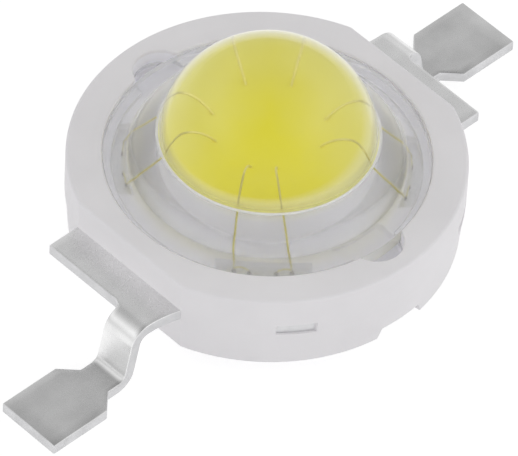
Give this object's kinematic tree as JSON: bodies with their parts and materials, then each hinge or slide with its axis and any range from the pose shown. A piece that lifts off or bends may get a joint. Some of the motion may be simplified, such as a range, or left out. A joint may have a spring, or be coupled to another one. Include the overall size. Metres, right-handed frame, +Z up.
{
  "type": "high-power led",
  "caption": "Surface-mount high-power light-emitting diode: round white moulded body, clear dome lens over a yellow phosphor cup, gull-wing leads and an exposed heat slug.",
  "frame": {"origin": "centre of the thermal pad under the heat slug, on the seating plane", "axes": "+Z up the lens axis, +X along the lead axis towards the anode lead, +Y towards one filling port"},
  "size_m": [0.0144, 0.008, 0.0047],
  "materials": {
    "white_plastic": "moulded",
    "plated_lead": "satin plating",
    "plated_slug": "silver plating",
    "clear_lens": "polished",
    "clear_gel": "clear silicone",
    "phosphor": "phosphor in silicone",
    "die_chip": "polished",
    "die_paste": "silver-filled paste",
    "gold_wire": "drawn gold"
  },
  "bodies": {
    "root": {"housing": "white_plastic", "heat_slug": "plated_slug", "anode_lead": "plated_lead", "cathode_lead": "plated_lead", "die_bond": "die_paste", "die": "die_chip", "phosphor_fill": "phosphor", "gel_fill": "clear_gel", "lens": "clear_lens", "bond_wire_1": "gold_wire", "bond_wire_2": "gold_wire", "bond_wire_3": "gold_wire", "bond_wire_4": "gold_wire", "bond_wire_5": "gold_wire", "bond_wire_6": "gold_wire", "bond_wire_7": "gold_wire", "bond_wire_8": "gold_wire"}
  },
  "joints": []
}
